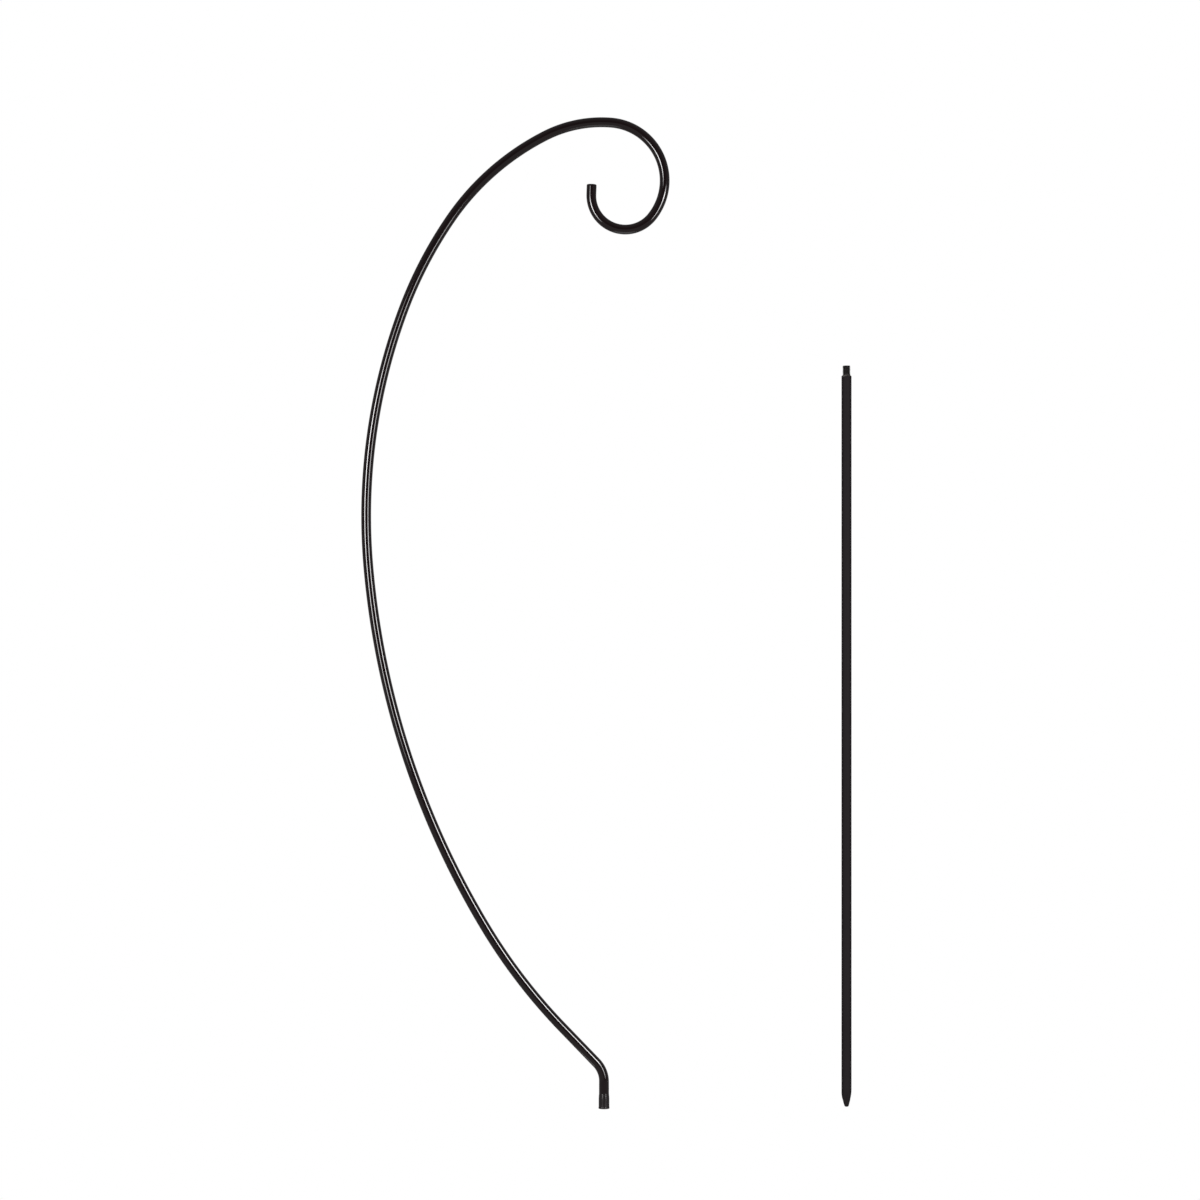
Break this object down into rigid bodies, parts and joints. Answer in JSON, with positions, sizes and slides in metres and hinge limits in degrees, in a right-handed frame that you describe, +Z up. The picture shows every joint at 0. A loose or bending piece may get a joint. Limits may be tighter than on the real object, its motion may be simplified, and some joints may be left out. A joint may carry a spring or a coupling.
{
  "type": "lantern holder",
  "caption": "Garden lantern hook in two rods: a bowed arm with a curled hook and a screw socket at its foot, and a ground stake with a threaded stud and a blunt point.",
  "frame": {"origin": "centre of the mouth of the screw socket at the arm's foot, on the screw axis", "axes": "+Z up along the screw axis and the stake, +X from the arm's foot towards the stake, so the bow swings out to -X and the arm lies in the XZ plane"},
  "size_m": [0.4903, 0.011, 0.9911],
  "materials": {
    "arm_coat": "gloss black enamel on steel bar",
    "socket_coat": "satin black enamel on turned steel",
    "stake_coat": "satin black enamel on steel bar",
    "stud_thread": "thin black coat on a cut steel thread"
  },
  "bodies": {
    "arm": {"hook_arm": "arm_coat", "threaded_socket": "socket_coat"},
    "stake": {"ground_stake": "stake_coat", "threaded_stud": "stud_thread"}
  },
  "joints": [
    {"name": "stake_turn", "type": "hinge", "parent": "arm", "child": "stake", "pos_m": [0.2425, 0, 0.7327], "axis": [0, 0, 1], "continuous": true}
  ]
}
